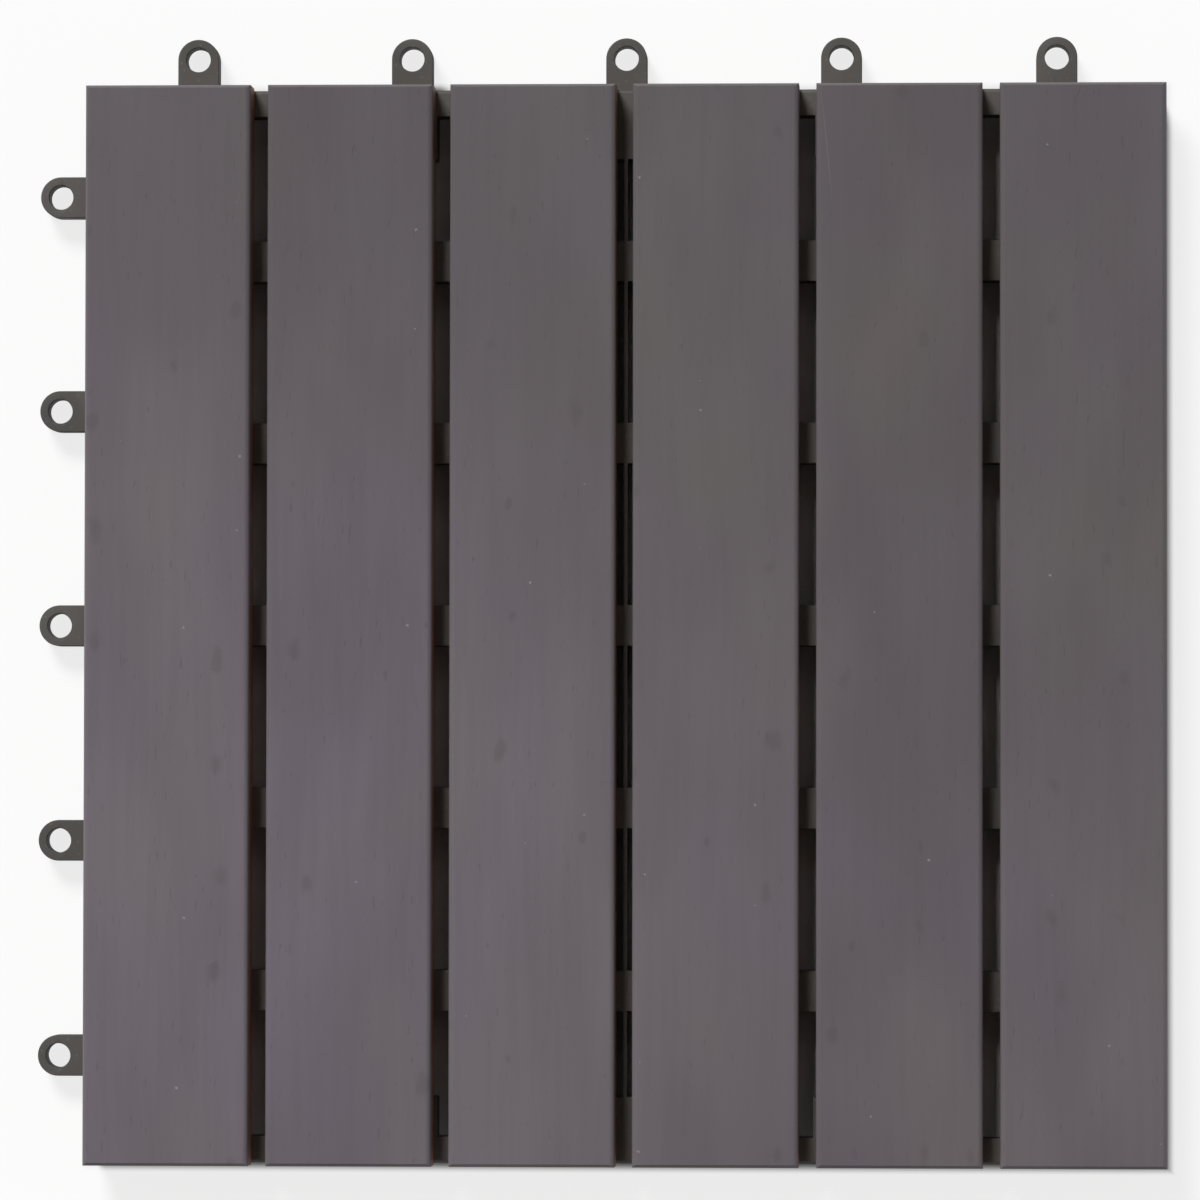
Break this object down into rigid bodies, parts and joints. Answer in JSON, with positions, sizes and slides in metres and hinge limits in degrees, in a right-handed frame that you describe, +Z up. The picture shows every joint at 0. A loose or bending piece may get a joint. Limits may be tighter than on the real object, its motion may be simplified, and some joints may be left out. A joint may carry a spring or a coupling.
{
  "type": "interlocking deck tile",
  "caption": "Square deck tile of parallel timber slats on a moulded lattice base, with clip loops on two edges and pegs on the other two.",
  "frame": {"origin": "on the ground under the centre of the slat field, on the central foot", "axes": "+X across the slats towards an edge of pegs, +Y along the slats towards an edge of loops, +Z up out of the tread"},
  "size_m": [0.3142, 0.3142, 0.024],
  "materials": {
    "base_plastic": "matte, fine moulded grain",
    "stained_wood": "grey-taupe stain on the tread and edges, low sheen; brown bare wood underneath",
    "screw_steel": "zinc plated"
  },
  "bodies": {
    "root": {"base_grid": "base_plastic", "slat_1": "stained_wood", "slat_2": "stained_wood", "slat_3": "stained_wood", "slat_4": "stained_wood", "slat_5": "stained_wood", "slat_6": "stained_wood", "slat_screws": "screw_steel"}
  },
  "joints": []
}
